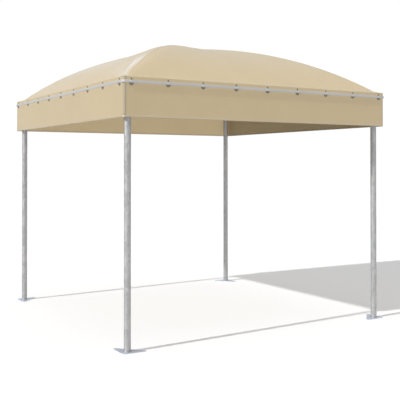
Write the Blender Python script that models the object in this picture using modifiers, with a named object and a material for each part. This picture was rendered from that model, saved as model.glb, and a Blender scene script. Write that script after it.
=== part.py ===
# Dome gazebo on a square plan: four round posts on triangular ground plates, a mitred
# eave frame, four curved hip arches that meet in a crown block, a fabric dome in four
# gores with a straight valance on each side, and a flat clamp bar around the eaves.
# Metres, +Z up. The origin is on the ground, at the centre of the plan.
# The front faces -Y and the right side +X.

import bpy
import bmesh
import math
from mathutils import Matrix, Vector

# Overall sizes
POST_SPACING = 3.0
HALF = POST_SPACING / 2
APEX_HEIGHT = 3.047
EAVE_HEIGHT = 2.476
VALANCE_BOTTOM = 2.108
COVER_OVERHANG = 0.0795
COVER_HALF = HALF + COVER_OVERHANG
HIP_RADIUS = 4.375
LIP_START = 1.52

# Plan radius of the fabric's corners: on the hips, per metre from the apex, and at the eave
HIP_ROUNDING = 0.165
APEX_ROUNDING = 0.6
EAVE_ROUNDING = 0.022
ROUNDING_TAPER = 0.4

# Hang of the roof fabric between two arches, zero at the crown and at the lip. The factor
# brings the largest value of the hang's curve to one.
SAG = 0.025
SAG_START = 0.075
SAG_FACTOR = 27 / 4

# Room between pieces that touch
GAP = 0.0003

# Posts and ground plates
POST_RADIUS = 0.03175
POST_WALL = 0.003
POST_SIDES = 24
GROUND_PLATE_LEG = 0.26
GROUND_PLATE_THICKNESS = 0.006
GROUND_PLATE_MARGIN = 0.075
GROUND_PLATE_ROUNDING = 0.02
GROUND_PLATE_STEPS = 5

# Fabric
FABRIC_THICKNESS = 0.002
ROOF_STEPS = 18
SIDE_STEPS = 8
HIP_STEPS = 3

# Eave rails, section 40 by 60 mm, with their top edge under the fabric
RAIL_WIDTH = 0.04
RAIL_HEIGHT = 0.06
RAIL_TOP = EAVE_HEIGHT - FABRIC_THICKNESS - GAP
RAIL_OUTER = COVER_HALF - FABRIC_THICKNESS - GAP
RAIL_CORNER_CUT = 0.023

# Post heads: a square plate that carries two rails, with an upright shoe for the arch
HEAD_THICKNESS = 0.008
HEAD_TOP = RAIL_TOP - RAIL_HEIGHT - GAP
HEAD_INNER = HALF - 0.05
SHOE_THICKNESS = 0.008
SHOE_START = 2.062
SHOE_END = 2.126

# Hip arches and crown block
ARCH_RADIUS = 0.0212
ARCH_STEPS = 16
ARCH_CLEARANCE = 0.0005
ARCH_FOOT = 2.128
CROWN_HALF = 0.05
CROWN_DEPTH = 0.05
CROWN_BEVEL = 0.004
CROWN_CLEARANCE = 0.0021

# Flat clamp bar around the eaves, which stands on clip plates with a bolt in each
BAR_HEIGHT = 0.025
BAR_THICKNESS = 0.006
BAR_LEVEL = EAVE_HEIGHT - 0.046
BAR_STANDOFF = 0.0043
BAR_INNER = COVER_HALF + BAR_STANDOFF
BAR_OUTER = BAR_INNER + BAR_THICKNESS
BEND_CENTRE = COVER_HALF - EAVE_ROUNDING
BEND_LEAD = 0.005
BEND_STEPS = 8
CLIPS_PER_SIDE = 9
CLIP_THICKNESS = 0.005
CLIP_DISC_RADIUS = 0.0235
CLIP_DISC_DROP = 0.012
CLIP_TONGUE_WIDTH = 0.014
CLIP_TONGUE_RISE = 0.034
BOLT_RADIUS = 0.008
BOLT_HEIGHT = 0.0035
BOLT_SIDES = 12

SIDES = ("front", "right", "back", "left")
CORNERS = ("front_right", "back_right", "back_left", "front_left")


def clear_scene():
    for item in list(bpy.data.objects):
        bpy.data.objects.remove(item, do_unlink=True)


def new_collection(name):
    collection = bpy.data.collections.new(name)
    bpy.context.scene.collection.children.link(collection)
    return collection


def new_material(name, colour, roughness, metallic):
    material = bpy.data.materials.new(name)
    material.use_nodes = True
    shader = material.node_tree.nodes["Principled BSDF"]
    shader.inputs["Base Color"].default_value = (*colour, 1.0)
    shader.inputs["Roughness"].default_value = roughness
    shader.inputs["Metallic"].default_value = metallic
    material.diffuse_color = (*colour, 1.0)
    return material


def object_from_mesh(name, mesh):
    item = bpy.data.objects.new(name, mesh)
    bpy.context.scene.collection.objects.link(item)
    return item


def object_from_bmesh(name, shape):
    mesh = bpy.data.meshes.new(name)
    shape.to_mesh(mesh)
    shape.free()
    return object_from_mesh(name, mesh)


def box(name, low, high):
    """A box between two opposite corners."""
    size = [b - a for a, b in zip(low, high)]
    centre = [(a + b) / 2 for a, b in zip(low, high)]
    shape = bmesh.new()
    matrix = Matrix.Translation(centre) @ Matrix.Diagonal((*size, 1.0))
    bmesh.ops.create_cube(shape, size=1.0, matrix=matrix)
    return object_from_bmesh(name, shape)


def cylinder(name, radius, start, end, sides):
    """A solid cylinder between two points."""
    axis = Vector(end) - Vector(start)
    turn = axis.to_track_quat("Z", "Y").to_matrix().to_4x4()
    centre = (Vector(start) + Vector(end)) / 2
    shape = bmesh.new()
    bmesh.ops.create_cone(shape, cap_ends=True, segments=sides, radius1=radius, radius2=radius,
                          depth=axis.length, matrix=Matrix.Translation(centre) @ turn)
    return object_from_bmesh(name, shape)


def solid_from_curve(item):
    """The closed mesh of a curve object, with its caps welded on."""
    graph = bpy.context.evaluated_depsgraph_get()
    mesh = bpy.data.meshes.new_from_object(item.evaluated_get(graph))
    shape = bmesh.new()
    shape.from_mesh(mesh)
    bmesh.ops.remove_doubles(shape, verts=shape.verts, dist=0.00002)
    shape.transform(item.matrix_world)
    shape.to_mesh(mesh)
    shape.free()
    solid = object_from_mesh(item.name + "_solid", mesh)
    bpy.data.objects.remove(item, do_unlink=True)
    return solid


def tube_along(name, points, radius, resolution):
    """A round bar along a list of points."""
    curve = bpy.data.curves.new(name, "CURVE")
    curve.dimensions = "3D"
    curve.bevel_depth = radius
    curve.bevel_resolution = resolution
    curve.use_fill_caps = True
    spline = curve.splines.new("POLY")
    spline.points.add(len(points) - 1)
    for place, point in zip(spline.points, points):
        place.co = (*point, 1.0)
    item = bpy.data.objects.new(name, curve)
    bpy.context.scene.collection.objects.link(item)
    bpy.context.view_layer.update()
    return solid_from_curve(item)


def slab(name, outline, low, high):
    """A flat outline in plan, made solid from one height to another."""
    curve = bpy.data.curves.new(name, "CURVE")
    curve.dimensions = "2D"
    curve.fill_mode = "BOTH"
    curve.extrude = (high - low) / 2
    spline = curve.splines.new("POLY")
    spline.points.add(len(outline) - 1)
    for place, point in zip(spline.points, outline):
        place.co = (point[0], point[1], 0.0, 1.0)
    spline.use_cyclic_u = True
    item = bpy.data.objects.new(name, curve)
    item.location.z = (low + high) / 2
    bpy.context.scene.collection.objects.link(item)
    bpy.context.view_layer.update()
    return solid_from_curve(item)


def combine(item, other, operation):
    """Applies a Boolean of two closed meshes and removes the second one."""
    modifier = item.modifiers.new("combine", "BOOLEAN")
    modifier.operation = operation
    modifier.solver = "EXACT"
    modifier.object = other
    bpy.context.view_layer.update()
    graph = bpy.context.evaluated_depsgraph_get()
    mesh = bpy.data.meshes.new_from_object(item.evaluated_get(graph))
    item.modifiers.clear()
    item.data = mesh
    bpy.data.objects.remove(other, do_unlink=True)
    return item


def rounded_corners(corners, radii, steps):
    """A polygon with each corner replaced by an arc that is tangent to its two sides."""
    outline = []
    for index, corner in enumerate(corners):
        point = Vector(corner)
        before = (Vector(corners[index - 1]) - point).normalized()
        after = (Vector(corners[(index + 1) % len(corners)]) - point).normalized()
        half_angle = before.angle(after) / 2
        radius = radii[index]
        centre = point + (before + after).normalized() * radius / math.sin(half_angle)
        first = point + before * radius / math.tan(half_angle) - centre
        last = point + after * radius / math.tan(half_angle) - centre
        sweep = first.angle_signed(last)
        for step in range(steps + 1):
            turned = first.copy()
            turned.rotate(Matrix.Rotation(-sweep * step / steps, 2))
            outline.append(tuple(centre + turned))
    return outline


def hip_height(s):
    """Outer face of the fabric on a hip, at distance s from the middle along the diagonal."""
    return APEX_HEIGHT - HIP_RADIUS + math.sqrt(HIP_RADIUS ** 2 - s ** 2)


def hip_slope(s):
    return s / math.sqrt(HIP_RADIUS ** 2 - s ** 2)


def corner_radius(m):
    """Plan radius of the fabric's corners where half its side is m."""
    return min(HIP_ROUNDING, APEX_ROUNDING * m, EAVE_ROUNDING + ROUNDING_TAPER * (COVER_HALF - m))


def hip_reach(m):
    """Distance along the diagonal to the rounded corner where half the side is m."""
    return math.sqrt(2) * m - (math.sqrt(2) - 1) * corner_radius(m)


def roof_sag(m, across):
    """Hang between two arches, with across 0 in the middle of the side and 1 on a hip."""
    share = min(max((m - SAG_START) / (LIP_START - SAG_START), 0.0), 1.0)
    return SAG * SAG_FACTOR * share * (1 - share) ** 2 * (1 - across ** 2)


def quarter_ring(m):
    """Front quarter of the fabric's plan outline: half a corner, the side, half a corner."""
    radius = corner_radius(m)
    flat = m - radius
    corner = []
    for step in range(HIP_STEPS):
        angle = math.pi / 4 * (1 - step / HIP_STEPS)
        corner.append((-flat - radius * math.sin(angle), -flat - radius * math.cos(angle)))
    side = [(flat * (2 * step / SIDE_STEPS - 1), -m) for step in range(SIDE_STEPS + 1)]
    return corner + side + [(-x, y) for x, y in reversed(corner)]


def gore_section(m, height, thickness):
    """Closed section of a gore where half the side is m: outer face, then inner face back."""
    ring = quarter_ring(m)
    hip = max(-ring[0][0], GAP)
    clear = Vector((0, -GAP / math.sqrt(2), 0))
    outer = [Vector((x, y, height - roof_sag(m, x / hip))) + clear for x, y in ring]
    inner = [point - Vector((0, 0, thickness)) for point in reversed(outer)]
    return outer + inner


def make_gore():
    """One quarter of the dome, lofted from the apex over the sagging field to a flat lip."""
    sections = []
    for step in range(ROOF_STEPS + 1):
        m = LIP_START * step / ROOF_STEPS
        reach = hip_reach(m)
        thickness = FABRIC_THICKNESS * math.hypot(1, math.sqrt(2) * hip_slope(reach))
        sections.append(gore_section(m, hip_height(reach), thickness))
    edge = COVER_HALF - GAP
    sections.append(gore_section(edge, EAVE_HEIGHT, FABRIC_THICKNESS))

    shape = bmesh.new()
    rows = [[shape.verts.new(point) for point in section] for section in sections]
    count = len(rows[0])
    for row, following in zip(rows, rows[1:]):
        for index in range(count):
            after = (index + 1) % count
            shape.faces.new((row[index], row[after], following[after], following[index]))
    rim = rows[-1]
    for index in range(count // 2 - 1):
        shape.faces.new((rim[index], rim[index + 1], rim[-2 - index], rim[-1 - index]))
    bmesh.ops.remove_doubles(shape, verts=shape.verts, dist=0.00001)
    bmesh.ops.recalc_face_normals(shape, faces=shape.faces)
    return object_from_bmesh("gore", shape)


def make_valance():
    """Straight band along the front, which turns half of each rounded corner."""
    centre = COVER_HALF - EAVE_ROUNDING
    outline = []
    for radius, turn in ((EAVE_ROUNDING, 1), (EAVE_ROUNDING - FABRIC_THICKNESS, -1)):
        trim = GAP / 2 / radius
        half = []
        for step in range(HIP_STEPS + 1):
            angle = (math.pi / 4 - trim) * step / HIP_STEPS
            half.append((centre + radius * math.sin(angle), -centre - radius * math.cos(angle)))
        face = [(-x, y) for x, y in reversed(half)] + half
        outline += face[::turn]
    return slab("valance", outline, VALANCE_BOTTOM, EAVE_HEIGHT - FABRIC_THICKNESS - GAP)


def make_eave_rail():
    """Rail along the front, mitred at both corners, with the tip of each mitre cut off."""
    trim = GAP / math.sqrt(2)
    inner = RAIL_OUTER - RAIL_WIDTH
    cut = RAIL_OUTER - RAIL_CORNER_CUT
    tip = RAIL_OUTER - RAIL_CORNER_CUT / 2
    right = [(cut, -RAIL_OUTER), (tip - trim, -tip), (inner - trim, -inner)]
    outline = right + [(-x, y) for x, y in reversed(right)]
    return slab("eave_rail", outline, RAIL_TOP - RAIL_HEIGHT, RAIL_TOP)


def make_post():
    """A round tube, open at both ends, from its ground plate to its head."""
    low = GROUND_PLATE_THICKNESS + GAP
    high = HEAD_TOP - HEAD_THICKNESS - GAP
    inner = POST_RADIUS - POST_WALL
    profile = [(POST_RADIUS, high), (POST_RADIUS, low), (inner, low), (inner, high)]
    mesh = bpy.data.meshes.new("post")
    points = [(x, 0.0, z) for x, z in profile]
    mesh.from_pydata(points, [(0, 1), (1, 2), (2, 3), (3, 0)], [])
    item = object_from_mesh("post", mesh)
    turn = item.modifiers.new("turn", "SCREW")
    turn.steps = POST_SIDES
    turn.render_steps = POST_SIDES
    turn.use_merge_vertices = True
    turn.merge_threshold = 0.00005
    bpy.context.view_layer.update()
    graph = bpy.context.evaluated_depsgraph_get()
    item.data = bpy.data.meshes.new_from_object(item.evaluated_get(graph))
    item.modifiers.clear()
    return item


def make_ground_plate():
    """A right-angled triangle with rounded corners, its long side facing inwards."""
    corner = GROUND_PLATE_MARGIN
    far = GROUND_PLATE_MARGIN - GROUND_PLATE_LEG
    outline = rounded_corners([(corner, -corner), (corner, -far), (far, -corner)],
                              [GROUND_PLATE_ROUNDING] * 3, GROUND_PLATE_STEPS)
    return slab("ground_plate", outline, 0.0, GROUND_PLATE_THICKNESS)


def arch_centre(s):
    """Centre line of a hip arch, at distance s from the middle along the diagonal."""
    depth = ARCH_RADIUS + ARCH_CLEARANCE + FABRIC_THICKNESS
    return hip_height(s) - depth * math.hypot(1, hip_slope(s))


def arch_stations():
    start = CROWN_HALF + 2 * GAP
    return [start + (ARCH_FOOT - start) * step / ARCH_STEPS for step in range(ARCH_STEPS + 1)]


def make_arch():
    """A bent round tube under the front right hip."""
    points = []
    for s in arch_stations():
        side = s / math.sqrt(2)
        points.append((side, -side, arch_centre(s)))
    return tube_along("arch", points, ARCH_RADIUS, 5)


def make_post_head():
    """Square plate on the post, with a shoe in the diagonal plane under the arch's foot."""
    cut = RAIL_OUTER - RAIL_CORNER_CUT
    plan = [(HEAD_INNER, -RAIL_OUTER), (cut, -RAIL_OUTER), (RAIL_OUTER, -cut),
            (RAIL_OUTER, -HEAD_INNER), (HEAD_INNER, -HEAD_INNER)]
    plate = slab("head", plan, HEAD_TOP - HEAD_THICKNESS, HEAD_TOP)
    start, end = arch_stations()[-2:]
    rise = (arch_centre(end) - arch_centre(start)) / (end - start)
    drop = (ARCH_RADIUS + GAP) * math.hypot(1, rise)
    low = HEAD_TOP - HEAD_THICKNESS / 2
    seat_start = arch_centre(start) + rise * (SHOE_START - start) - drop
    seat_end = arch_centre(start) + rise * (SHOE_END - start) - drop
    outline = [(SHOE_START, low), (SHOE_END, low), (SHOE_END, seat_end), (SHOE_START, seat_start)]
    shoe = slab("shoe", outline, -SHOE_THICKNESS / 2, SHOE_THICKNESS / 2)
    shoe.data.transform(Matrix.Rotation(-math.pi / 4, 4, "Z") @ Matrix.Rotation(math.pi / 2, 4, "X"))
    return combine(plate, shoe, "UNION")


def make_crown():
    """Square block under the apex, turned so that a flat face meets each arch."""
    high = APEX_HEIGHT - FABRIC_THICKNESS - CROWN_CLEARANCE
    item = box("crown_block", (-CROWN_HALF, -CROWN_HALF, high - CROWN_DEPTH),
               (CROWN_HALF, CROWN_HALF, high))
    bevel = item.modifiers.new("edges", "BEVEL")
    bevel.width = CROWN_BEVEL
    bevel.segments = 2
    item.rotation_euler.z = math.pi / 4
    return item


def make_clip(x):
    """A clip at one place along the front: half-hidden disc, upright tongue, and bolt head."""
    back = -COVER_HALF - GAP
    front = back - CLIP_THICKNESS
    disc_height = BAR_LEVEL - CLIP_DISC_DROP
    half = CLIP_TONGUE_WIDTH / 2
    clip = cylinder("clip", CLIP_DISC_RADIUS, (x, back, disc_height), (x, front, disc_height), 16)
    tongue = box("tongue", (x - half, front, disc_height),
                 (x + half, back, BAR_LEVEL + CLIP_TONGUE_RISE))
    bolt = cylinder("bolt", BOLT_RADIUS, (x, front, BAR_LEVEL),
                    (x, -BAR_OUTER - BOLT_HEIGHT, BAR_LEVEL), BOLT_SIDES)
    combine(clip, tongue, "UNION")
    return combine(clip, bolt, "UNION")


def make_clamp_bar():
    """The bar along the front eave with its clips, one every eighth of the post spacing."""
    end = BEND_CENTRE - BEND_LEAD - GAP
    bar = box("clamp_bar", (-end, -BAR_OUTER, BAR_LEVEL - BAR_HEIGHT / 2),
              (end, -BAR_INNER, BAR_LEVEL + BAR_HEIGHT / 2))
    pitch = POST_SPACING / (CLIPS_PER_SIDE - 1)
    for index in range(CLIPS_PER_SIDE):
        combine(bar, make_clip(-HALF + pitch * index), "UNION")
    return bar


def make_clamp_bend():
    """Quarter bend around the front right corner, with a short straight lead at each end."""
    start = BEND_CENTRE - BEND_LEAD
    outline = []
    for side, turn in ((BAR_OUTER, 1), (BAR_INNER, -1)):
        radius = side - BEND_CENTRE
        face = [(start, -side)]
        for step in range(BEND_STEPS + 1):
            angle = math.pi / 2 * step / BEND_STEPS
            face.append((BEND_CENTRE + radius * math.sin(angle),
                         -BEND_CENTRE - radius * math.cos(angle)))
        face.append((side, -start))
        outline += face[::turn]
    return slab("clamp_bend", outline, BAR_LEVEL - BAR_HEIGHT / 2, BAR_LEVEL + BAR_HEIGHT / 2)


def repeat_around(item, prefix, names, material, collection, spot=(0.0, 0.0)):
    """Four objects a quarter turn apart that share one mesh; spot is the first one's place."""
    mesh = item.data
    mesh.materials.clear()
    mesh.materials.append(material)
    mesh.shade_smooth()
    mesh.set_sharp_from_angle(angle=math.radians(30))
    bpy.data.objects.remove(item, do_unlink=True)
    for index, name in enumerate(names):
        turn = Matrix.Rotation(index * math.pi / 2, 4, "Z")
        copy = bpy.data.objects.new(prefix + "_" + name, mesh)
        copy.matrix_world = turn @ Matrix.Translation((*spot, 0.0))
        collection.objects.link(copy)


def build():
    clear_scene()
    collection = new_collection("dome_gazebo")
    steel = new_material("galvanised_steel", (0.48, 0.47, 0.46), 0.45, 0.85)
    bar_steel = new_material("clamp_bar_steel", (0.46, 0.46, 0.45), 0.5, 0.8)
    roof_cloth = new_material("roof_fabric", (0.66, 0.55, 0.37), 0.75, 0.0)
    valance_cloth = new_material("valance_fabric", (0.62, 0.52, 0.35), 0.75, 0.0)

    corner = (HALF, -HALF)
    repeat_around(make_ground_plate(), "ground_plate", CORNERS, steel, collection, corner)
    repeat_around(make_post(), "post", CORNERS, steel, collection, corner)
    repeat_around(make_post_head(), "post_head", CORNERS, steel, collection)
    repeat_around(make_eave_rail(), "eave_rail", SIDES, steel, collection)
    repeat_around(make_arch(), "hip_arch", CORNERS, steel, collection)

    crown = make_crown()
    crown.data.materials.append(steel)
    bpy.context.scene.collection.objects.unlink(crown)
    collection.objects.link(crown)

    repeat_around(make_gore(), "roof_gore", SIDES, roof_cloth, collection)
    repeat_around(make_valance(), "valance", SIDES, valance_cloth, collection)
    repeat_around(make_clamp_bar(), "clamp_bar", SIDES, bar_steel, collection)
    repeat_around(make_clamp_bend(), "clamp_bend", CORNERS, bar_steel, collection)


build()
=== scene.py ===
# Dome gazebo: the finish and the fine shapes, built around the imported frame.
# One stretched sand-coloured cover, its tapes and hem, the clamp bar with its clips,
# and the galvanised steel that carries them. Metres, +Z up, front towards -Y.

import bpy
import numpy as np
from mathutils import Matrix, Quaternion, Vector


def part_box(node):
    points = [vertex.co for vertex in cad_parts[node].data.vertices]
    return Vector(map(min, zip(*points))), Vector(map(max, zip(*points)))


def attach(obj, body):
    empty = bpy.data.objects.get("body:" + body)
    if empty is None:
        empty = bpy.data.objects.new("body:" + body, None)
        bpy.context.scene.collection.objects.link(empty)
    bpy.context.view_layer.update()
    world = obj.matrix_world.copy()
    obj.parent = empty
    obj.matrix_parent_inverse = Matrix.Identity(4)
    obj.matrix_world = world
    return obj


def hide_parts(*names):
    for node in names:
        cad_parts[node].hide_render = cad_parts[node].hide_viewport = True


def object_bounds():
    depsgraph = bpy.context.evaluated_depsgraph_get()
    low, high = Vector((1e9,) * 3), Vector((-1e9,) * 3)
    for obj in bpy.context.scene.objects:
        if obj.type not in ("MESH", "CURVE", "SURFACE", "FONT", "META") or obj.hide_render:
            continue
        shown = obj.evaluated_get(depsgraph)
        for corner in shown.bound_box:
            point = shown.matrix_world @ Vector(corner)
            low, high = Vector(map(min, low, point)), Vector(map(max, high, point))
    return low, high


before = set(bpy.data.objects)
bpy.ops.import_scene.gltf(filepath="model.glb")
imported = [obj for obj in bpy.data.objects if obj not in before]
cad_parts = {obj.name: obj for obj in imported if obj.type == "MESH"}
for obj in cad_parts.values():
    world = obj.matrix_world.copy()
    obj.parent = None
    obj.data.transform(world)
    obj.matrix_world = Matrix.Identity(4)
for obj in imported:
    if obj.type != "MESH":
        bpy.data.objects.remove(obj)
cadLow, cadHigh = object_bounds()
sides = ("front", "right", "back", "left")
corners = ("front_right", "back_right", "back_left", "front_left")
rootTwo = np.sqrt(2.0)
sharpAngle = 0.6  # radians: a steel edge that turns by more than this stays crisp
print("frame loaded:", len(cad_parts), "nodes")


# Shared mesh tools

def meshPiece(name, points, faces, material, uv=None, smooth=True):
    # points: any array of xyz rows; faces: rows of corner numbers; uv: one pair for each face corner
    mesh = bpy.data.meshes.new(name)
    faces = faces.tolist() if isinstance(faces, np.ndarray) else faces
    mesh.from_pydata(np.reshape(points, (-1, 3)).tolist(), [], faces)
    if uv is not None:
        layer = mesh.uv_layers.new(name="clothMetres")
        layer.data.foreach_set("uv", np.asarray(uv, dtype=np.float32).ravel())
    mesh.polygons.foreach_set("use_smooth", np.full(len(mesh.polygons), smooth))
    mesh.materials.append(material)
    mesh.update()
    piece = bpy.data.objects.new(name, mesh)
    bpy.context.scene.collection.objects.link(piece)
    return piece


def pointsAt(x, y, z):
    # xyz rows from three arrays that broadcast together
    return np.stack(np.broadcast_arrays(x, y, z), axis=-1)


def unit(vectors):
    # each vector divided by its length
    return vectors / np.linalg.norm(vectors, axis=-1, keepdims=True)


def fullTurn(steps):
    # evenly spaced angles of a whole turn
    return np.linspace(0.0, 2.0 * np.pi, steps, endpoint=False)


def lengthAlong(line):
    # how far along a line of points each of them lies
    steps = np.linalg.norm(np.diff(line, axis=0), axis=1)
    return np.concatenate([[0.0], np.cumsum(steps)])


def quarterTurn(points, turns):
    # turns points about Z by quarter turns: (x, y) goes to (-y, x) each time
    x, y, z = points[..., 0], points[..., 1], points[..., 2]
    for _ in range(turns % 4):
        x, y = -y, x
    return np.stack([x, y, z], axis=-1)


def allRound(quarter):
    # the columns of one quarter, then those of its three turned copies
    return np.concatenate([quarterTurn(quarter, turns) for turns in range(4)], axis=1)


def gridQuads(rows, columns, wrapColumns=False, wrapRows=False):
    # four corner numbers for each cell of a rows x columns grid, wrapped round where asked
    index = np.arange(rows * columns).reshape(rows, columns)
    if wrapColumns:
        index = np.concatenate([index, index[:, :1]], axis=1)
    if wrapRows:
        index = np.concatenate([index, index[:1]], axis=0)
    quads = np.stack([index[:-1, :-1], index[1:, :-1], index[1:, 1:], index[:-1, 1:]], axis=-1)
    return quads.reshape(-1, 4)


def cappedFaces(rings, count, reverse=False):
    # quads between rings of count points each, then one flat face on the first ring and one on the last
    quads = gridQuads(rings, count, wrapColumns=True)
    first = np.arange(count)
    last = (rings - 1) * count + first
    if reverse:
        return quads[:, ::-1].tolist() + [first[::-1].tolist(), last.tolist()]
    return quads.tolist() + [first.tolist(), last[::-1].tolist()]


def joinParts(parts):
    # one point array and one face list out of several (points, faces) pairs
    points, faces, start = [], [], 0
    for partPoints, partFaces in parts:
        flat = np.reshape(partPoints, (-1, 3))
        points.append(flat)
        faces += [[corner + start for corner in face] for face in partFaces]
        start += len(flat)
    return np.concatenate(points), faces


def turned(profile, steps, centre=(0.0, 0.0, 0.0)):
    # rows of (radius, height) carried round Z: x = radius * cos, y = radius * sin
    angle = fullTurn(steps)
    profile = np.asarray(profile, dtype=float)
    radius, height = profile[:, :1], profile[:, 1:]
    ring = pointsAt(radius * np.cos(angle), radius * np.sin(angle), height)
    return ring + np.asarray(centre, dtype=float)


def button(profile, steps, centre):
    # a closed round body on the front face: the profile's height points towards -Y
    rings = turned(profile, steps)
    points = pointsAt(rings[..., 0], -rings[..., 2], rings[..., 1]) + np.asarray(centre)
    return points, cappedFaces(len(profile), steps, reverse=True)


def closedTube(path, outline):
    # an outline of (across, up) rows set square to a path at each station, with flat ends
    along = unit(np.gradient(path, axis=0))
    across = unit(np.cross(along, (0.0, 0.0, 1.0)))
    up = np.cross(across, along)
    rows = path[:, None] + across[:, None] * outline[None, :, :1] + up[:, None] * outline[None, :, 1:]
    return rows, cappedFaces(len(path), len(outline))


def easedBar(path, outline, easing):
    # a closed tube with a ring added close to each end, where the end rings shrink by the easing
    first = path[0] + unit(path[1] - path[0]) * easing
    last = path[-1] + unit(path[-2] - path[-1]) * easing
    path = np.concatenate([path[:1], [first], path[1:-1], [last], path[-1:]])
    rows, faces = closedTube(path, outline)
    for end in (0, -1):
        rows[end] = path[end] + (rows[end] - path[end]) * (1.0 - easing / np.abs(outline).max())
    return rows, faces


def circleOutline(radius, steps):
    # points of a circle as (across, up) rows
    angle = fullTurn(steps)
    return np.stack([radius * np.cos(angle), radius * np.sin(angle)], axis=-1)


def roundedOutline(width, height, radius, steps):
    # a rectangle with a quarter arc of so many steps at each corner, as (across, up) rows
    angle = np.linspace(0.0, np.pi / 2, steps)
    cx, cz = width / 2 - radius, height / 2 - radius
    arcs = [np.stack([sx * cx + radius * np.cos(angle + k * np.pi / 2),
                      sz * cz + radius * np.sin(angle + k * np.pi / 2)], axis=-1)
            for k, (sx, sz) in enumerate(((1, 1), (-1, 1), (-1, -1), (1, -1)))]
    return np.concatenate(arcs)


def steelOnEach(places, slotName, *shapes):
    # shapes made for the front side or its right corner, turned to all four places. A shape is the
    # start of its name, points, faces, a material, and the start of the name of the node that it
    # stands for, or None
    made = []
    for turns, place in enumerate(places):
        for start, points, faces, material, nodeStart in shapes:
            piece = meshPiece(start + place, quarterTurn(points, turns), faces, material)
            piece.data.set_sharp_from_angle(angle=sharpAngle)
            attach(piece, "root")
            if nodeStart:
                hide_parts(nodeStart + place)
            made.append(piece)
    return made


# Shared material tools

noiseSpan = (0.3, 0.7)  # where most values of a noise texture lie


def newMaterial(name):
    material = bpy.data.materials.new(name)
    material.use_nodes = True
    return material, material.node_tree, material.node_tree.nodes["Principled BSDF"]


def addNode(tree, kind, inputs=None, **settings):
    node = tree.nodes.new(kind)
    for key, value in settings.items():
        setattr(node, key, value)
    for key, value in (inputs or {}).items():
        node.inputs[key].default_value = value
    return node


def wire(tree, *pairs):
    for output, target in pairs:
        tree.links.new(output, target)


def mathNode(tree, operation, first, second=None):
    node = addNode(tree, "ShaderNodeMath", operation=operation)
    for socket, value in zip(node.inputs, (first, second)):
        if isinstance(value, (int, float)):
            socket.default_value = value
        elif value is not None:
            tree.links.new(value, socket)
    return node.outputs[0]


def weightedSum(tree, *terms):
    # adds up (value, weight) terms
    total = None
    for value, weight in terms:
        term = mathNode(tree, "MULTIPLY", value, weight)
        total = term if total is None else mathNode(tree, "ADD", total, term)
    return total


def mixColours(tree, factor, first, second, blend="MIX"):
    # inputs 0, 6 and 7 of a colour mix are its factor and its two colours, and output 2 is the result
    node = addNode(tree, "ShaderNodeMix", data_type="RGBA", blend_type=blend)
    for socket, value in zip((node.inputs[0], node.inputs[6], node.inputs[7]), (factor, first, second)):
        if isinstance(value, bpy.types.NodeSocket):
            tree.links.new(value, socket)
        elif isinstance(value, float):
            socket.default_value = value
        else:
            socket.default_value = (*value, 1.0)
    return node.outputs[2]


def objectPoints(tree, scale=(1.0, 1.0, 1.0)):
    # object coordinates in metres, stretched by the given scale
    coordinates = addNode(tree, "ShaderNodeTexCoord")
    mapping = addNode(tree, "ShaderNodeMapping", {"Scale": scale})
    wire(tree, (coordinates.outputs["Object"], mapping.inputs["Vector"]))
    return mapping.outputs["Vector"]


def noiseValue(tree, vector, scale, detail=3.0, roughness=0.5):
    node = addNode(tree, "ShaderNodeTexNoise", {"Scale": scale, "Detail": detail, "Roughness": roughness})
    wire(tree, (vector, node.inputs["Vector"]))
    return node.outputs[0]


def remap(tree, value, low, high, toLow=0.0, toHigh=1.0):
    # input 0 is the value, and 1 to 4 are the two ends that it has and the two that it gets
    node = addNode(tree, "ShaderNodeMapRange", {1: low, 2: high, 3: toLow, 4: toHigh})
    wire(tree, (value, node.inputs[0]))
    return node.outputs[0]


def bumpNode(tree, height, distance, strength):
    node = addNode(tree, "ShaderNodeBump", {"Distance": distance, "Strength": strength})
    wire(tree, (height, node.inputs["Height"]))
    return node


# Fabric: a coated canvas with a plain weave, slight mottling and a satin coat
fabric = {
    "roofColour": (0.610, 0.492, 0.302),
    "hemColour": (0.515, 0.427, 0.290),
    "cornerColour": (0.438, 0.375, 0.261),
    "mottle": 0.035,  # how far the colour drifts from place to place
    "cloudScale": 2.3,  # scales are noise patches to the metre
    "cloudShare": 0.7,
    "fineScale": 41.0,
    "fineShare": 0.3,
    "threadPitch": 0.0012,
    "threadShade": 0.97,  # how dark the hollows between the threads are
    "weaveHeight": 0.00006,
    "weaveStrength": 0.8,
    "rippleScale": 6.0,
    "rippleHeight": 0.004,
    "rippleStrength": 0.12,
    "roughness": 0.62,
    "roughnessDrift": 0.05,
    "coat": 0.45,
    "coatRoughness": 0.18,
    "sheen": 0.10,
    "sheenRoughness": 0.5,
}


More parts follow.
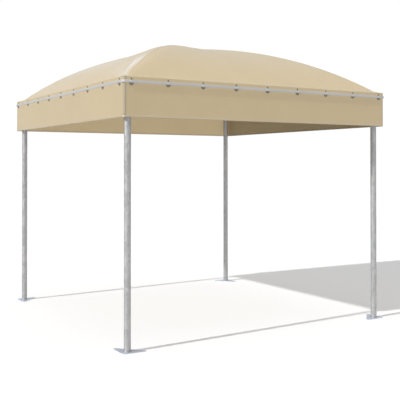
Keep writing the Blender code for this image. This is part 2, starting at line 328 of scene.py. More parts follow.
def canvasMaterial(name, colour):
    material, tree, shader = newMaterial(name)
    place = objectPoints(tree)
    cloud = noiseValue(tree, place, fabric["cloudScale"], detail=4.0, roughness=0.6)
    fine = noiseValue(tree, place, fabric["fineScale"])
    drift = weightedSum(tree, (cloud, fabric["cloudShare"]), (fine, fabric["fineShare"]))
    dark = tuple(c * (1.0 - fabric["mottle"]) for c in colour)
    pale = tuple(c * (1.0 + fabric["mottle"]) for c in colour)
    tint = mixColours(tree, remap(tree, drift, *noiseSpan), dark, pale)

    # warp and weft are two rows of sine bands, and the higher one lies on top
    uv = addNode(tree, "ShaderNodeUVMap", uv_map="clothMetres")
    split = addNode(tree, "ShaderNodeSeparateXYZ")
    wire(tree, (uv.outputs[0], split.inputs[0]))
    turn = float(2.0 * np.pi / fabric["threadPitch"])
    warp = mathNode(tree, "SINE", mathNode(tree, "MULTIPLY", split.outputs[0], turn))
    weft = mathNode(tree, "SINE", mathNode(tree, "MULTIPLY", split.outputs[1], turn))
    weave = mathNode(tree, "MULTIPLY", warp, weft)
    threads = remap(tree, weave, -1.0, 1.0, fabric["threadShade"], 1.0)
    shade = addNode(tree, "ShaderNodeCombineColor")
    wire(tree, *[(threads, shade.inputs[i]) for i in range(3)])
    woven = mixColours(tree, 1.0, tint, shade.outputs[0], "MULTIPLY")

    rough, drift = fabric["roughness"], fabric["roughnessDrift"]
    roughness = remap(tree, fine, *noiseSpan, rough - drift, rough + drift)
    ripple = bumpNode(tree, noiseValue(tree, place, fabric["rippleScale"]),
                      fabric["rippleHeight"], fabric["rippleStrength"])
    bump = bumpNode(tree, weave, fabric["weaveHeight"], fabric["weaveStrength"])
    wire(tree, (ripple.outputs[0], bump.inputs["Normal"]), (bump.outputs[0], shader.inputs["Normal"]),
         (woven, shader.inputs["Base Color"]), (roughness, shader.inputs["Roughness"]))
    shader.inputs["Coat Weight"].default_value = fabric["coat"]
    shader.inputs["Coat Roughness"].default_value = fabric["coatRoughness"]
    shader.inputs["Sheen Weight"].default_value = fabric["sheen"]
    shader.inputs["Sheen Roughness"].default_value = fabric["sheenRoughness"]
    return material


# Steel: hot-dip galvanised, with a spangle of crystal patches and run marks down the length
steel = {
    "fineCells": 2.7,  # how many times finer the second size of patch is
    "largeShare": 0.34,  # shares say how much each layer counts in the grey
    "smallShare": 0.18,
    "streakScale": 34.0,
    "streakUpright": 0.12,
    "streakShare": 0.55,
    "cloudScale": 3.1,
    "cloudShare": 0.30,
    "darkReach": 0.30,  # how far under and over its middle the mix turns quite dark or quite light
    "lightReach": 0.26,
    "roughness": 0.46,
    "smoother": 0.08,  # how far a patch may be smoother or rougher than that
    "rougher": 0.10,
    "bumpHeight": 0.0004,
    "bumpStrength": 0.35,
}

# each finish: light and dark zinc, the patches' size in metres, their upright scale, where under
# one is taller, their contrast, and how metallic the zinc is. Bar, clips and bolts are dull
finishes = {
    "postSpangle": {"light": (0.53, 0.525, 0.52), "dark": (0.34, 0.345, 0.36), "size": 0.020,
                    "upright": 0.55, "contrast": 1.0, "metallic": 0.70},
    # the plates' pale grey is their zinc, and their blue tint is painted reflection of the sky
    "plateZincAndReflection": {"light": (0.74, 0.78, 0.88), "dark": (0.56, 0.60, 0.70), "size": 0.016,
                  "upright": 1.0, "contrast": 0.7, "metallic": 0.70},
    "weldZinc": {"light": (0.40, 0.40, 0.41), "dark": (0.30, 0.30, 0.31), "size": 0.005,
                 "upright": 1.0, "contrast": 0.5, "metallic": 0.70},
    "frameZinc": {"light": (0.53, 0.525, 0.52), "dark": (0.34, 0.345, 0.36), "size": 0.018,
                  "upright": 1.0, "contrast": 0.8, "metallic": 0.70},
    "barZinc": {"light": (0.60, 0.60, 0.595), "dark": (0.50, 0.50, 0.495), "size": 0.009,
                "upright": 1.0, "contrast": 0.5, "metallic": 0.15},
    # the clips' dark brown is partly their dull zinc and partly painted shade: the darkness under the bar
    # and on their lower halves is drawn into the colour
    "clipZincAndShade": {"light": (0.25, 0.225, 0.19), "dark": (0.17, 0.155, 0.13), "size": 0.006,
                 "upright": 1.0, "contrast": 0.6, "metallic": 0.15},
    "boltZinc": {"light": (0.60, 0.60, 0.61), "dark": (0.50, 0.50, 0.51), "size": 0.005,
                 "upright": 1.0, "contrast": 0.4, "metallic": 0.15},
}


def spangleMaterial(name):
    # two sizes of crystal cell, each cell with its own grey, over slow upright streaks and clouds
    finish = finishes[name]
    material, tree, shader = newMaterial(name)
    place = objectPoints(tree, (1.0, 1.0, finish["upright"]))
    cells = []
    for scale in (1.0 / finish["size"], steel["fineCells"] / finish["size"]):
        node = addNode(tree, "ShaderNodeTexVoronoi", {"Scale": scale, "Randomness": 1.0})
        grey = addNode(tree, "ShaderNodeSeparateColor")
        wire(tree, (place, node.inputs["Vector"]), (node.outputs["Color"], grey.inputs[0]))
        cells.append((grey.outputs[0], node.outputs["Distance"]))
    (largeGrey, _), (smallGrey, smallDish) = cells
    streaks = noiseValue(tree, objectPoints(tree, (1.0, 1.0, steel["streakUpright"])),
                         steel["streakScale"], detail=4.0, roughness=0.6)
    clouds = noiseValue(tree, objectPoints(tree), steel["cloudScale"])
    shares = (steel["largeShare"] * finish["contrast"], steel["smallShare"] * finish["contrast"],
              steel["streakShare"], steel["cloudShare"])
    mixed = weightedSum(tree, *zip((largeGrey, smallGrey, streaks, clouds), shares))
    middle = sum(shares) / 2
    tone = remap(tree, mixed, middle - steel["darkReach"], middle + steel["lightReach"])
    zinc = mixColours(tree, tone, finish["dark"], finish["light"])
    rough = steel["roughness"]
    roughness = remap(tree, largeGrey, 0.0, 1.0, rough - steel["smoother"], rough + steel["rougher"])
    bump = bumpNode(tree, smallDish, steel["bumpHeight"], steel["bumpStrength"])
    wire(tree, (zinc, shader.inputs["Base Color"]), (roughness, shader.inputs["Roughness"]),
         (bump.outputs[0], shader.inputs["Normal"]))
    shader.inputs["Metallic"].default_value = finish["metallic"]
    return material


roofCanvas = canvasMaterial("roofCanvas", fabric["roofColour"])
hemCanvas = canvasMaterial("hemCanvas", fabric["hemColour"])
cornerCanvas = canvasMaterial("cornerCanvas", fabric["cornerColour"])
postSteel = spangleMaterial("postSpangle")
plateSteelAndReflection = spangleMaterial("plateZincAndReflection")
weldSteel = spangleMaterial("weldZinc")
frameSteel = spangleMaterial("frameZinc")
barSteel = spangleMaterial("barZinc")
clipSteelAndShade = spangleMaterial("clipZincAndShade")
boltSteel = spangleMaterial("boltZinc")
print("materials made")


# Cover: the roof's form, shared by the sheet and its tapes
cover = {
    "hipRadius": 4.375,
    "hipRounding": 0.165,
    "apexRounding": 0.6,
    "eaveRounding": 0.022,
    "roundingTaper": 0.4,
    "sag": 0.025,
    "sagStart": 0.075,
    "lipStart": 1.52,  # half side where the roof leaves the arches for the flat edge
    "lipSoftness": 0.003,
    "eaveRise": 0.0023,  # the cloth over the valance's top, and its gap
    "foldRadius": 0.006,
    "foldStart": 0.35,  # radians: where the fold takes over from the lip's slope
    "valanceDrop": 0.006,  # from the fold's last row to the valance's first
    "valanceLift": 0.0005,  # the valance's last row over the solid's lower edge
    "bow": 0.0006,  # how far the middle of the valance's height pulls in
    "wave": 0.0005,  # how far its lower edge waves
    "waveRate": 9.0,
    "wavePhase": 1.3,
    "waveFade": 8,  # a high power keeps the wave up until close to the corners
    "thickness": 0.0012,
    "apexHalf": 0.004,  # half side of the ring round the pole
    "rowPower": 0.9,  # under one spreads the rows beside the pole
    "roofRows": 96,
    "roofEnd": 0.04,  # how far before the lip the wide rows end and the close ones start
    "lipLead": 0.03,
    "lipRows": 16,
    "foldRows": 7,
    "valanceRows": 26,
    "sideColumns": 72,
    "cornerColumns": 10,
}
valanceLow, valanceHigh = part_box("valance_front")
gazeboHalf = -valanceLow.y
valanceBottom = valanceLow.z
apexHeight = cadHigh.z
eaveHeight = valanceHigh.z + cover["eaveRise"]


def cornerRadius(m):
    # plan radius of the corners at half side m: the smallest of a fixed one, one that grows
    # from the apex and one that tapers to the eave's
    taper = cover["eaveRounding"] + cover["roundingTaper"] * (gazeboHalf - m)
    return np.minimum(np.minimum(cover["hipRounding"], cover["apexRounding"] * m), taper)


def ringPlan(m, q, radius):
    # one quarter of a rounded square: q from -1 to 1 runs along the straight side, and
    # q from 1 to 2 runs round the corner as an arc of a quarter turn
    flat = m - radius
    angle = np.clip(q - 1.0, 0.0, 1.0) * np.pi / 2
    x = np.clip(q, -1.0, 1.0) * flat + radius * np.sin(angle)
    y = -flat - radius * np.cos(angle)
    return x, y


def hipArc(m):
    # height of the hip's arc over the rounded corner of the ring with half side m
    radius = cornerRadius(m)
    reach = rootTwo * m - (rootTwo - 1.0) * radius
    return apexHeight - cover["hipRadius"] + np.sqrt(cover["hipRadius"] ** 2 - reach ** 2)


def roofHeight(x, y, m):
    # the hip's arc, less a sag that is nothing at the crown, at the lip and on the hips, and
    # blended into the straight slope of the lip
    radius = cornerRadius(m)
    onHip = np.maximum(m - radius + radius / rootTwo, 1e-6)
    across = np.clip(np.minimum(np.abs(x), np.abs(y)) / onHip, 0.0, 1.0)
    share = np.clip((m - cover["sagStart"]) / (cover["lipStart"] - cover["sagStart"]), 0.0, 1.0)
    peak = 27.0 / 4.0  # makes the largest value of share * (1 - share)^2 one
    sag = cover["sag"] * peak * share * (1.0 - share) ** 2 * (1.0 - across ** 2)
    return blendToLip(hipArc(m) - sag, m)


def lipHeight(m):
    # straight slope from the arch line at the lip's start down to the eave
    start = cover["lipStart"]
    top = hipArc(np.float64(start))
    return top + (m - start) / (gazeboHalf - start) * (eaveHeight - top)


def blendToLip(roof, m):
    # smooth maximum of the two surfaces: lip + k * ln(1 + e^((roof - lip) / k))
    k = cover["lipSoftness"]
    lip = lipHeight(m)
    farOff = 40.0  # from here on the larger one counts alone
    gap = np.clip((roof - lip) / k, -farOff, farOff)
    return np.where(roof - lip > farOff * k, roof, lip + k * np.log1p(np.exp(gap)))


def coverQ():
    # column places of one quarter as one row: the straight side, then the corner without its last
    side = np.linspace(-1.0, 1.0, cover["sideColumns"] + 1)
    corner = 1.0 + np.arange(1, cover["cornerColumns"]) / cover["cornerColumns"]
    return np.concatenate([side, corner])[None, :]


def eaveFold():
    # angles of the eave's fold, from the lip's slope to upright, and the height where it starts
    angle = np.linspace(cover["foldStart"], np.pi / 2, cover["foldRows"])
    return angle, float(lipHeight(np.float64(gazeboHalf - cover["foldRadius"])))


def makeCover():
    # rows run from the apex over the roof, round the eave's fold and down the valance
    q = coverQ()
    start, fold = cover["apexHalf"], cover["foldRadius"]
    eased = np.linspace(0.0, 1.0, cover["roofRows"]) ** cover["rowPower"]
    wide = start + (cover["lipStart"] - cover["roofEnd"] - start) * eased
    close = np.linspace(cover["lipStart"] - cover["lipLead"], gazeboHalf - fold, cover["lipRows"])
    m = np.concatenate([wide, close])[:, None]
    x, y = ringPlan(m, q, cornerRadius(m))
    roof = pointsAt(x, y, roofHeight(x, y, m))

    # the fold is a quarter arc, and the valance bows and waves a little inwards
    angle, edge = eaveFold()
    angle = angle[:, None]
    m = gazeboHalf - fold + fold * np.sin(angle)
    z = edge - fold * (1.0 - np.cos(angle))
    folded = pointsAt(*ringPlan(m, q, cornerRadius(m)), z)
    top = float(z[-1, 0]) - cover["valanceDrop"]
    bottom = valanceBottom + cover["valanceLift"]
    z = np.linspace(top, bottom, cover["valanceRows"])[:, None]
    m = np.full_like(z, gazeboHalf)
    x, y = ringPlan(m, q, cornerRadius(m))
    hang = (top - z) / (top - bottom)
    wave = cover["wave"] * hang * np.sin(x * cover["waveRate"] + cover["wavePhase"])
    inward = cover["bow"] * np.sin(np.pi * hang) + wave
    inward = inward * (np.abs(q) <= 1.0) * (1.0 - np.clip(q, -1.0, 1.0) ** cover["waveFade"])
    wall = pointsAt(x, y + inward, z)

    quarter = np.concatenate([roof, folded, wall], axis=0)
    around = allRound(quarter)
    rows, columns = around.shape[:2]
    faces = gridQuads(rows, columns, wrapColumns=True)

    # cloth metres: along the side, and down from the apex
    down = lengthAlong(quarter[:, cover["sideColumns"] // 2])
    faceSide = np.tile(np.repeat(np.arange(4), q.size), rows - 1)
    flat = around.reshape(-1, 3)[faces]
    along = np.select([faceSide[:, None] == k for k in range(4)],
                      [flat[..., 0], flat[..., 1], -flat[..., 0], -flat[..., 1]])
    uv = np.stack([along, down[faces // columns]], axis=-1)

    # the pole is closed with a fan of triangles
    points = np.concatenate([around.reshape(-1, 3), [[0.0, 0.0, apexHeight]]])
    ring = np.arange(columns)
    fan = np.stack([np.full(columns, rows * columns), ring, (ring + 1) % columns], axis=-1)
    fanUv = np.zeros((columns * 3, 2))
    piece = meshPiece("canopy_cover", points, faces.tolist() + fan.tolist(), roofCanvas,
                      np.concatenate([uv.reshape(-1, 2), fanUv]))
    cloth = piece.modifiers.new("cloth", "SOLIDIFY")
    cloth.thickness = cover["thickness"]
    cloth.offset = -1.0
    return piece, float(down[-1])


canopy, halfLength = makeCover()
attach(canopy, "root")
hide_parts(*["roof_gore_" + s for s in sides], *["valance_" + s for s in sides])
print("cover made, half length", round(halfLength, 3))


# Hem: a welded band of the same canvas round the valance's lower edge
hem = {
    "height": 0.020,
    "proud": 0.0009,
    "roll": 0.0028,  # how far the rolled edge stands out
    "behind": 0.0045,  # how far the band reaches behind the cloth's face
    "lap": 0.0022,  # and where it turns there
    "sunk": 0.0003,
    "leastRadius": 0.002,
}


def makeHem():
    # a closed profile carried round the valance as rows of (outward, up): down the band's face,
    # round the rolled edge and up behind the cloth
    tall, proud, roll, behind, lap = [hem[key] for key in ("height", "proud", "roll", "behind", "lap")]
    profile = np.array([(0.0, tall), (proud, tall - 0.001), (proud, 0.007), (roll, 0.0035),
                        (roll * 0.7, 0.0012), (0.0, 0.0002), (-lap, 0.0012), (-behind, 0.004),
                        (-behind, tall - 0.002), (-lap, tall)])
    outward, up = profile[:, :1], profile[:, 1:]
    m = gazeboHalf + outward - hem["sunk"]
    radius = np.maximum(cornerRadius(np.full_like(m, gazeboHalf)) + outward, hem["leastRadius"])
    around = allRound(pointsAt(*ringPlan(m, coverQ(), radius), valanceBottom + up))
    faces = gridQuads(*around.shape[:2], wrapColumns=True, wrapRows=True)
    flat = around.reshape(-1, 3)[faces]
    uv = np.stack([flat[..., 0] + flat[..., 1], flat[..., 2]], axis=-1)
    return meshPiece("valance_hem", around, faces, hemCanvas, uv)


hemPiece = makeHem()
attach(hemPiece, "root")


# Tapes: one over each hip, from near the apex to the eave, and one over each corner of the valance
tape = {
    "proud": 0.0007,
    "thickness": 0.0006,
    "hipHalfWidth": 0.014,
    "hipStart": 0.024,  # half sides where a hip's tape starts and ends
    "hipEnd": 1.500,
    "hipRows": 90,
    "hipColumns": 9,
    "leastRadius": 0.02,
    "cornerStart": 1.25,  # the place in the quarter where a corner's tape starts
    "cornerLap": 0.005,  # how far it goes on to the flat of the side that follows
    "cornerLift": 0.0003,  # over the hem
    "cornerArc": 0.035,  # cloth metres round a whole corner
    "cornerRows": 34,
    "cornerColumns": 12,
}


def tapeOnEach(start, strip, faces, material, uv):
    # the strip, turned to all four corners, is a tape's outer face, and its thickness goes inwards
    pieces = []
    for turns, corner in enumerate(corners):
        piece = meshPiece(start + corner, quarterTurn(strip, turns), faces, material, uv)
        band = piece.modifiers.new("tape", "SOLIDIFY")
        band.thickness = tape["thickness"]
        band.offset = -1.0
        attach(piece, "root")
        pieces.append(piece)
    return pieces


def makeHipTapes():
    # a strip of the roof's own surface, centred on the corner's diagonal and lifted a little
    m = np.linspace(tape["hipStart"], tape["hipEnd"], tape["hipRows"])[:, None]
    radius = cornerRadius(m)
    spread = np.linspace(-1.0, 1.0, tape["hipColumns"])[None, :] * tape["hipHalfWidth"]
    q = 1.5 + spread / np.maximum(radius, tape["leastRadius"]) / (np.pi / 2)
    x, y = ringPlan(m, q, radius)
    strip = pointsAt(x, y, roofHeight(x, y, m))
    normal = unit(np.cross(np.gradient(strip, axis=0), np.gradient(strip, axis=1)))
    strip = strip + normal * np.sign(normal[..., 2:]) * tape["proud"]
    along = lengthAlong(strip[:, tape["hipColumns"] // 2])
    faces = gridQuads(tape["hipRows"], tape["hipColumns"])
    column, row = faces % tape["hipColumns"], faces // tape["hipColumns"]
    uv = np.stack([spread[0][column], along[row]], axis=-1)
    return tapeOnEach("hip_seam_", strip, faces, roofCanvas, uv)


def makeCornerTapes():
    # a strip over each rounded corner, round the eave's fold and down to the hem: the cloth's
    # own arc with its radius larger by the amount the tape stands proud, and a lap on to the
    # flat of the side that follows
    fold, proud, rows = cover["foldRadius"], tape["proud"], tape["cornerRows"]
    angle, edge = eaveFold()
    drop = np.linspace(edge - fold - cover["valanceDrop"],
                       valanceBottom + hem["height"] + tape["cornerLift"], rows)
    base = np.concatenate([gazeboHalf - fold + fold * np.sin(angle), np.full(rows, gazeboHalf)])[:, None]
    lift = np.concatenate([proud * np.sin(angle), np.full(rows, proud)])[:, None]
    z = np.concatenate([edge - fold + (fold + proud) * np.cos(angle), drop])[:, None]
    q = np.linspace(tape["cornerStart"], 2.0, tape["cornerColumns"] - 1)[None, :]
    x, y = ringPlan(base + lift, q, cornerRadius(base) + lift)
    x = np.concatenate([x, x[:, -1:]], axis=1)
    y = np.concatenate([y, y[:, -1:] + tape["cornerLap"]], axis=1)
    faces = gridQuads(*x.shape)
    across = np.append(q[0], 2.0 + tape["cornerLap"] / tape["cornerArc"]) * tape["cornerArc"]
    uv = np.stack([across[faces % across.size], -z[:, 0][faces // across.size]], axis=-1)
    return tapeOnEach("corner_tape_", pointsAt(x, y, z), faces, cornerCanvas, uv)


tapePieces = makeHipTapes() + makeCornerTapes()
print("hem and tapes made")


# Clamp bar: flat bar with eased edges, in straight runs and quarter bends
bar = {
    "standoff": 0.0043,
    "edgeRadius": 0.0010,
    "edgeSteps": 4,
    "easing": 0.0006,
    "runRows": 33,
    "bendRows": 24,
}
bendLow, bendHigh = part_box("clamp_bend_front_right")
barOuter = bendHigh.x
barInner = gazeboHalf + bar["standoff"]
barLevel = (bendHigh.z + bendLow.z) / 2
barTall = bendHigh.z - bendLow.z


def makeBars():
    # each path runs along the middle of the bar, round a corner as an arc about the cloth's own
    middle = (barInner + barOuter) / 2
    outline = roundedOutline(barOuter - barInner, barTall, bar["edgeRadius"], bar["edgeSteps"])
    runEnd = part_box("clamp_bar_front")[1].x
    straight = pointsAt(np.linspace(-runEnd, runEnd, bar["runRows"]), -middle, barLevel)
    runs = steelOnEach(sides, "clamp_bar_steel",
                       ("clamp_run_", *easedBar(straight, outline, bar["easing"]), barSteel, "clamp_bar_"))
    centre = gazeboHalf - cover["eaveRounding"]
    radius = middle - centre
    angle = np.linspace(0.0, np.pi / 2, bar["bendRows"])
    arc = pointsAt(centre + radius * np.sin(angle), -centre - radius * np.cos(angle), barLevel)
    bend = np.concatenate([[[bendLow.x, -middle, barLevel]], arc, [[middle, -bendLow.x, barLevel]]])
    steelOnEach(corners, "clamp_bar_steel",
                ("clamp_turn_", *easedBar(bend, outline, bar["easing"]), barSteel, "clamp_bend_"))
    runs[sides.index("left")].visible_shadow = False  # the sunlit run would draw a dark line under itself


makeBars()
print("clamp bar made")


# Clips: a disc half hidden by the bar, a tongue above it, and a bolt head on the bar
clips = {
    "perSide": 9,
    "pitch": 0.375,
    "clothGap": 0.0004,
    "partGap": 0.0001,
    "discRadius": 0.0235,
    "discDrop": 0.012,
    "discThickness": 0.0036,
    "discEase": 0.0009,
    "discBackEase": 0.0004,
    "discFacets": 40,
    "tongueWidth": 0.014,
    "tongueTop": 0.034,
    "tongueThickness": 0.0030,
    "tongueRounding": 0.0055,
    "tongueSteps": 5,
    "tongueEase": 0.0006,
    "washerRadius": 0.0098,
    "washerThickness": 0.0012,
    "washerEase": 0.0004,
    "boltRadius": 0.0075,
    "boltDome": ((1.0, 0.0013), (1.0, 0.0028), (0.92, 0.0036), (0.70, 0.0042), (0.35, 0.0045)),
    "boltFacets": 24,
}


def tonguePlate(x, low, high, back):
    # an upright rounded plate whose front edges step in
    width, depth, ease = clips["tongueWidth"], clips["tongueThickness"], clips["tongueEase"]
    outline = roundedOutline(width, high - low, clips["tongueRounding"], clips["tongueSteps"])
    rings = ((outline, 0.0), (outline, depth - ease), (outline * (1.0 - ease / (width / 2)), depth))
    points = np.stack([pointsAt(x + ring[:, 0], -back - forward, (low + high) / 2 + ring[:, 1])
                       for ring, forward in rings])
    return points, cappedFaces(len(rings), len(outline), reverse=True)


def makeClips():
    # disc and bolt are turned profiles of (radius, height) rows, and the rows of the bolt's dome
    # are (share of the bolt's radius, height)
    places = (np.arange(clips["perSide"]) - clips["perSide"] // 2) * clips["pitch"]
    back = gazeboHalf + clips["clothGap"]
    discLevel = barLevel - clips["discDrop"]
    radius, depth = clips["discRadius"], clips["discThickness"]
    ease, backEase = clips["discEase"], clips["discBackEase"]
    disc = [(radius - backEase, 0.0), (radius, backEase), (radius, depth - ease),
            (radius - ease / 3, depth - ease / 3), (radius - ease, depth)]
    radius, depth, ease = clips["washerRadius"], clips["washerThickness"], clips["washerEase"]
    bolt = [(radius, 0.0), (radius, depth - ease), (radius - ease, depth)]
    bolt += [(clips["boltRadius"] * share, height) for share, height in clips["boltDome"]]
    plates, bolts = [], []
    for x in places:
        plates.append(button(disc, clips["discFacets"], (x, -back, discLevel)))
        plates.append(tonguePlate(x, discLevel, barLevel + clips["tongueTop"], back + clips["partGap"]))
        bolts.append(button(bolt, clips["boltFacets"], (x, -barOuter - clips["partGap"], barLevel)))
    # the clip plates' dark colour is partly painted shade
    steelOnEach(sides, "clamp_bar_steel", ("clip_plates_", *joinParts(plates), clipSteelAndShade, None),
                ("clip_bolts_", *joinParts(bolts), boltSteel, None))


makeClips()
print("clips made")


# Posts: round tubes, each with a weld bead round its foot
post = {
    "wall": 0.003,
    "ease": 0.0006,
    "rows": 24,
    "facets": 64,
    "beadRadius": 0.0042,
    "beadOut": 0.0006,
    "beadLift": 0.0002,
    "beadUnder": -0.05,  # how far down the bead's section goes, as a share of its radius
    "beadRipples": ((31.0, 0.12, 0.0), (13.0, 0.08, 1.0)),  # count, depth and phase
    "beadSteps": 10,
    "beadFacets": 96,
}


def makePosts():
    # a tube wall turned about the post's axis: up the outside, over the rim, down the inside; the
    # bead is a ring whose section's radius ripples by sines of the angle
    low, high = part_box("post_front_right")
    radius = (high.x - low.x) / 2
    spot = Vector(((low.x + high.x) / 2, (low.y + high.y) / 2, 0.0))
    ease, inner = post["ease"], radius - post["wall"]
    heights = np.linspace(low.z + ease, high.z - ease, post["rows"])
    profile = [(radius - ease, low.z)] + [(radius, z) for z in heights] + [(radius - ease, high.z)]
    profile += [(inner + ease, high.z)] + [(inner, z) for z in heights[::-1]] + [(inner + ease, low.z)]
    points = turned(profile, post["facets"], spot)
    faces = gridQuads(len(profile), post["facets"], wrapColumns=True, wrapRows=True)[:, ::-1]

    angle = fullTurn(post["beadFacets"])
    section = fullTurn(post["beadSteps"])[:, None]
    swell = 1.0
    for count, depth, phase in post["beadRipples"]:
        swell = swell + depth * np.sin(angle * count + phase)
    ripple = post["beadRadius"] * swell
    ring = radius + post["beadOut"] + ripple * np.cos(section)
    bead = pointsAt(spot.x + ring * np.cos(angle), spot.y + ring * np.sin(angle),
                    low.z + post["beadLift"] + ripple * np.maximum(np.sin(section), post["beadUnder"]))
    beadFaces = gridQuads(*bead.shape[:2], wrapColumns=True, wrapRows=True)[:, ::-1]
    steelOnEach(corners, "galvanised_steel", ("post_tube_", points, faces, postSteel, "post_"),
                ("post_weld_", bead, beadFaces, weldSteel, None))


# Ground plates: flat triangles with rounded corners
plate = {"rounding": 0.020, "ease": 0.0012, "faceInset": 0.010, "arcSteps": 14}


def makePlates():
    # three arcs about the corners' own centres; each ring insets the arcs' radius
    low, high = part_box("ground_plate_front_right")
    rounding, ease, inset, steps = [plate[key] for key in ("rounding", "ease", "faceInset", "arcSteps")]
    centres = np.array([[high.x - rounding, low.y + rounding], [high.x - rounding, high.y - rounding],
                        [low.x + rounding, low.y + rounding]])
    spans = ((-np.pi / 2, 0.0), (0.0, 0.75 * np.pi), (0.75 * np.pi, 1.5 * np.pi))
    angle = np.concatenate([np.linspace(a, b, steps) for a, b in spans])
    centre = np.repeat(centres, steps, axis=0)
    rings = ((inset, low.z), (ease * 0.4, low.z), (0.0, low.z + ease * 0.5), (0.0, high.z - ease),
             (ease * 0.4, high.z - ease * 0.3), (ease, high.z), (inset, high.z))
    points = np.stack([pointsAt(centre[:, 0] + (rounding - inwards) * np.cos(angle),
                                centre[:, 1] + (rounding - inwards) * np.sin(angle), z)
                       for inwards, z in rings])
    faces = cappedFaces(len(rings), len(angle), reverse=True)
    # the plates' blue tint is painted sky reflection
    steelOnEach(corners, "galvanised_steel", ("foot_plate_", points, faces, plateSteelAndReflection, "ground_plate_"))


# Hip arches: bent tubes under the hips, from the crown block to the post heads
arch = {
    "radius": 0.0212,
    "clothGap": 0.0025,
    "start": 0.0506,  # distances from the centre of the plan
    "end": 2.128,
    "ease": 0.0008,
    "rows": 60,
    "facets": 40,
}


def makeArches():
    # centre line under the hip: the fabric's arc less the tube's own radius and the cloth, both
    # measured square to the arc
    s = np.linspace(arch["start"], arch["end"], arch["rows"])
    arc = np.sqrt(cover["hipRadius"] ** 2 - s ** 2)
    depth = arch["radius"] + arch["clothGap"]
    z = apexHeight - cover["hipRadius"] + arc - depth * np.hypot(1.0, s / arc)
    outline = circleOutline(arch["radius"], arch["facets"])
    rows, faces = easedBar(pointsAt(s / rootTwo, -s / rootTwo, z), outline, arch["ease"])
    steelOnEach(corners, "galvanised_steel", ("arch_tube_", rows, faces, frameSteel, "hip_arch_"))


# Heads, rails and crown keep the frame's shape, and a merged copy gets eased edges
easing = {"mergeGap": 0.00002, "rail": 0.004, "other": 0.0012, "segments": 3, "edgeAngle": 0.5}


def dressNodes():
    names = ["post_head_" + c for c in corners] + ["eave_rail_" + s for s in sides] + ["crown_block"]
    for name in names:
        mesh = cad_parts[name].data.copy()
        mesh.materials.clear()
        mesh.materials.append(frameSteel)
        piece = bpy.data.objects.new(name + "_eased", mesh)
        bpy.context.scene.collection.objects.link(piece)
        merge = piece.modifiers.new("merge", "WELD")
        merge.merge_threshold = easing["mergeGap"]
        ease = piece.modifiers.new("ease", "BEVEL")
        ease.width = easing["rail" if name.startswith("eave") else "other"]
        ease.segments = easing["segments"]
        ease.limit_method = "ANGLE"
        ease.angle_limit = easing["edgeAngle"]
        mesh.shade_smooth()
        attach(piece, "root")
        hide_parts(name)


makePosts()
makePlates()
makeArches()
dressNodes()
print("steel frame made")


# Stage: pale floor, white surroundings, a sun from the left, soft fill from the camera's side and
# from above, and two lamps behind that gleam on the cloth
light = {
    "worldStrength": 0.255,  # for matt surfaces
    "backdrop": 1.02,  # what the camera sees
    "mirrored": 0.626,  # what shiny surfaces mirror
    "sunStrength": 2.838,
    "sunTravel": (1.0, 0.081, -0.622),
    "sunAngle": 0.02,
    "fillStrength": 1.523,
    "fillTravel": (0.03, 1.0, 0.0),
    "topStrength": 0.422,
    "topTravel": (0.0, 0.1, -1.0),
    "softAngle": 0.6,
    "gleamColour": (0.42, 0.64, 1.0),
    "streakPower": 23.0,
    "streakSize": (2.2, 1.35),
    "streakPlace": (0.41, 5.32, 6.71),
    "streakAim": (-1.37, -1.32, 2.61),
    "streakRoll": -26.0,
    "rimPower": 4.0,
    "rimSize": (3.5, 1.0),
    "rimPlace": (1.70, 10.20, 5.25),
    "rimAim": (-1.10, 0.95, 2.75),
    "rimRoll": 0.0,
    "floorGlow": 0.205,
    "floorColour": 0.93,
    "floorReach": 150.0,
    "floorDrop": 0.0005,  # keeps it off the plates' undersides
}


def sunLamp(name, strength, travel, angle, plain=False):
    # a plain lamp only lifts matt surfaces: it casts no shadow and isn't mirrored
    lamp = bpy.data.lights.new(name, "SUN")
    lamp.energy = strength
    lamp.angle = angle
    holder = bpy.data.objects.new(name, lamp)
    holder.rotation_euler = Vector(travel).to_track_quat("-Z", "Y").to_euler()
    bpy.context.scene.collection.objects.link(holder)
    if plain:
        lamp.use_shadow = False
        holder.visible_glossy = False


def gleamLamp(name):
    # a lamp behind and above that shows only as a gleam on the coated cloth
    lamp = bpy.data.lights.new(name, "AREA")
    lamp.energy = light[name + "Power"]
    lamp.color = light["gleamColour"]
    lamp.shape = "RECTANGLE"
    lamp.size, lamp.size_y = light[name + "Size"]
    holder = bpy.data.objects.new(name, lamp)
    holder.location = light[name + "Place"]
    travel = Vector(light[name + "Aim"]) - holder.location
    roll = Quaternion((0.0, 0.0, 1.0), np.radians(light[name + "Roll"]))
    holder.rotation_euler = (travel.to_track_quat("-Z", "Y") @ roll).to_euler()
    holder.visible_diffuse = False
    holder.visible_camera = False
    bpy.context.scene.collection.objects.link(holder)


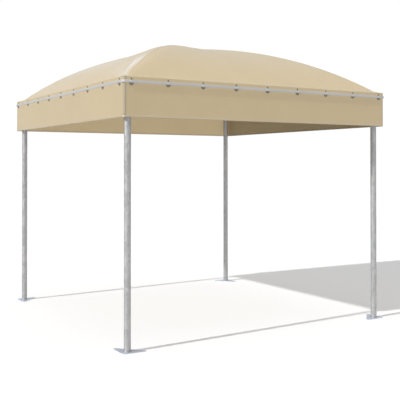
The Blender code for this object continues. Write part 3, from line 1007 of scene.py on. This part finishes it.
def makeStage():
    world = bpy.data.worlds.new("studio")
    bpy.context.scene.world = world
    world.use_nodes = True
    tree = world.node_tree
    background = tree.nodes["Background"]
    path = addNode(tree, "ShaderNodeLightPath")
    matt = remap(tree, path.outputs["Is Glossy Ray"], 0.0, 1.0, light["worldStrength"], light["mirrored"])
    extra = mathNode(tree, "SUBTRACT", light["backdrop"], matt)
    seen = mathNode(tree, "MULTIPLY", path.outputs["Is Camera Ray"], extra)
    wire(tree, (mathNode(tree, "ADD", matt, seen), background.inputs["Strength"]))
    background.inputs["Color"].default_value = (1.0, 1.0, 1.0, 1.0)

    material, tree, shader = newMaterial("paleFloor")
    shader.inputs["Base Color"].default_value = (light["floorColour"],) * 3 + (1.0,)
    shader.inputs["Roughness"].default_value = 1.0
    shader.inputs["Specular IOR Level"].default_value = 0.0
    shader.inputs["Emission Color"].default_value = (1.0, 1.0, 1.0, 1.0)
    shader.inputs["Emission Strength"].default_value = light["floorGlow"]
    far = light["floorReach"]
    floor = meshPiece("floor", [(-far, -far, 0), (far, -far, 0), (far, far, 0), (-far, far, 0)],
                      [(0, 1, 2, 3)], material, smooth=False)
    floor.location.z = -light["floorDrop"]
    floor.visible_diffuse = False
    sunLamp("sun", light["sunStrength"], light["sunTravel"], light["sunAngle"])
    sunLamp("fill", light["fillStrength"], light["fillTravel"], light["softAngle"], True)
    sunLamp("top", light["topStrength"], light["topTravel"], light["softAngle"], True)
    gleamLamp("streak")  # on the near hip
    gleamLamp("rim")  # along the left side's upper edge


makeStage()

# Camera at the photograph's viewpoint
cameraForm = {"place": (-4.351, -7.519, 1.675), "yaw": 30.203, "pitch": 0.598, "lens": 66.213,
              "sensorWidth": 36.0, "shiftX": 0.025, "shiftY": -0.105}
lensData = bpy.data.cameras.new("camera")
lensData.sensor_width = cameraForm["sensorWidth"]
lensData.lens = cameraForm["lens"]
lensData.shift_x = cameraForm["shiftX"]
lensData.shift_y = cameraForm["shiftY"]
camera = bpy.data.objects.new("camera", lensData)
camera.location = cameraForm["place"]
camera.rotation_euler = np.radians((90.0 + cameraForm["pitch"], 0.0, -cameraForm["yaw"]))
bpy.context.scene.collection.objects.link(camera)
bpy.context.scene.camera = camera
bpy.context.scene.view_settings.view_transform = "Standard"
print("stage, lights and camera set")
